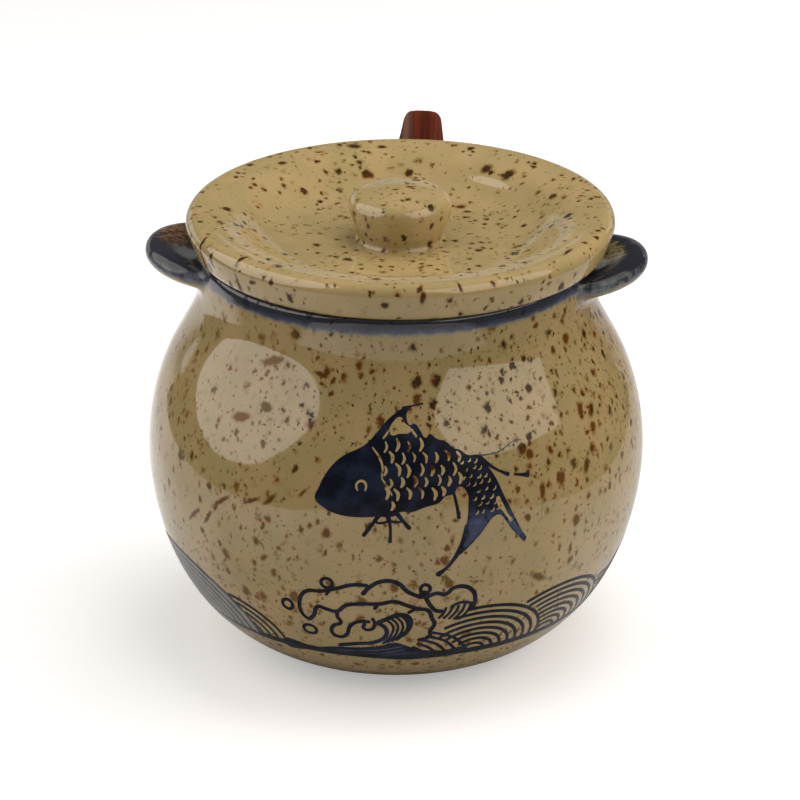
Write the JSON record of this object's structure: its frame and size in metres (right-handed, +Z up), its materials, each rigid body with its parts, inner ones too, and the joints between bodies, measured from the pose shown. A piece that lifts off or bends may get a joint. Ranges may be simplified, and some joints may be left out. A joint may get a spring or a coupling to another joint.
{
  "type": "lidded seasoning jar",
  "caption": "Round-bellied glazed stoneware seasoning jar with lug ears, a dished lift-off lid with a round knob, and a wooden spoon whose handle leaves through a slot in the neck.",
  "frame": {"origin": "centre of the foot ring on the surface the jar stands on, on the jar's axis", "axes": "+Z up along the jar's axis, ears on +X and -X, spoon slot at +Y, plain decorated front facing -Y"},
  "size_m": [0.1014, 0.1018, 0.0945],
  "materials": {
    "glaze": "glossy cream glaze with iron-brown speckles",
    "rim_glaze": "glossy blue-grey brushed glaze",
    "wood": "dark red-brown lacquer"
  },
  "bodies": {
    "jar": {"jar_body": "glaze", "ear_left": "rim_glaze", "ear_right": "rim_glaze"},
    "lid": {"lid": "glaze", "lid_knob": "glaze"},
    "spoon": {"spoon": "wood"}
  },
  "joints": [
    {"name": "lid_lift", "type": "slide", "parent": "jar", "child": "lid", "axis": [0, 0, 1], "range_m": [0, 0.12]},
    {"name": "spoon_draw", "type": "slide", "parent": "jar", "child": "spoon", "axis": [0.021, 0.5732, 0.8192], "range_m": [0, 0.05]}
  ]
}
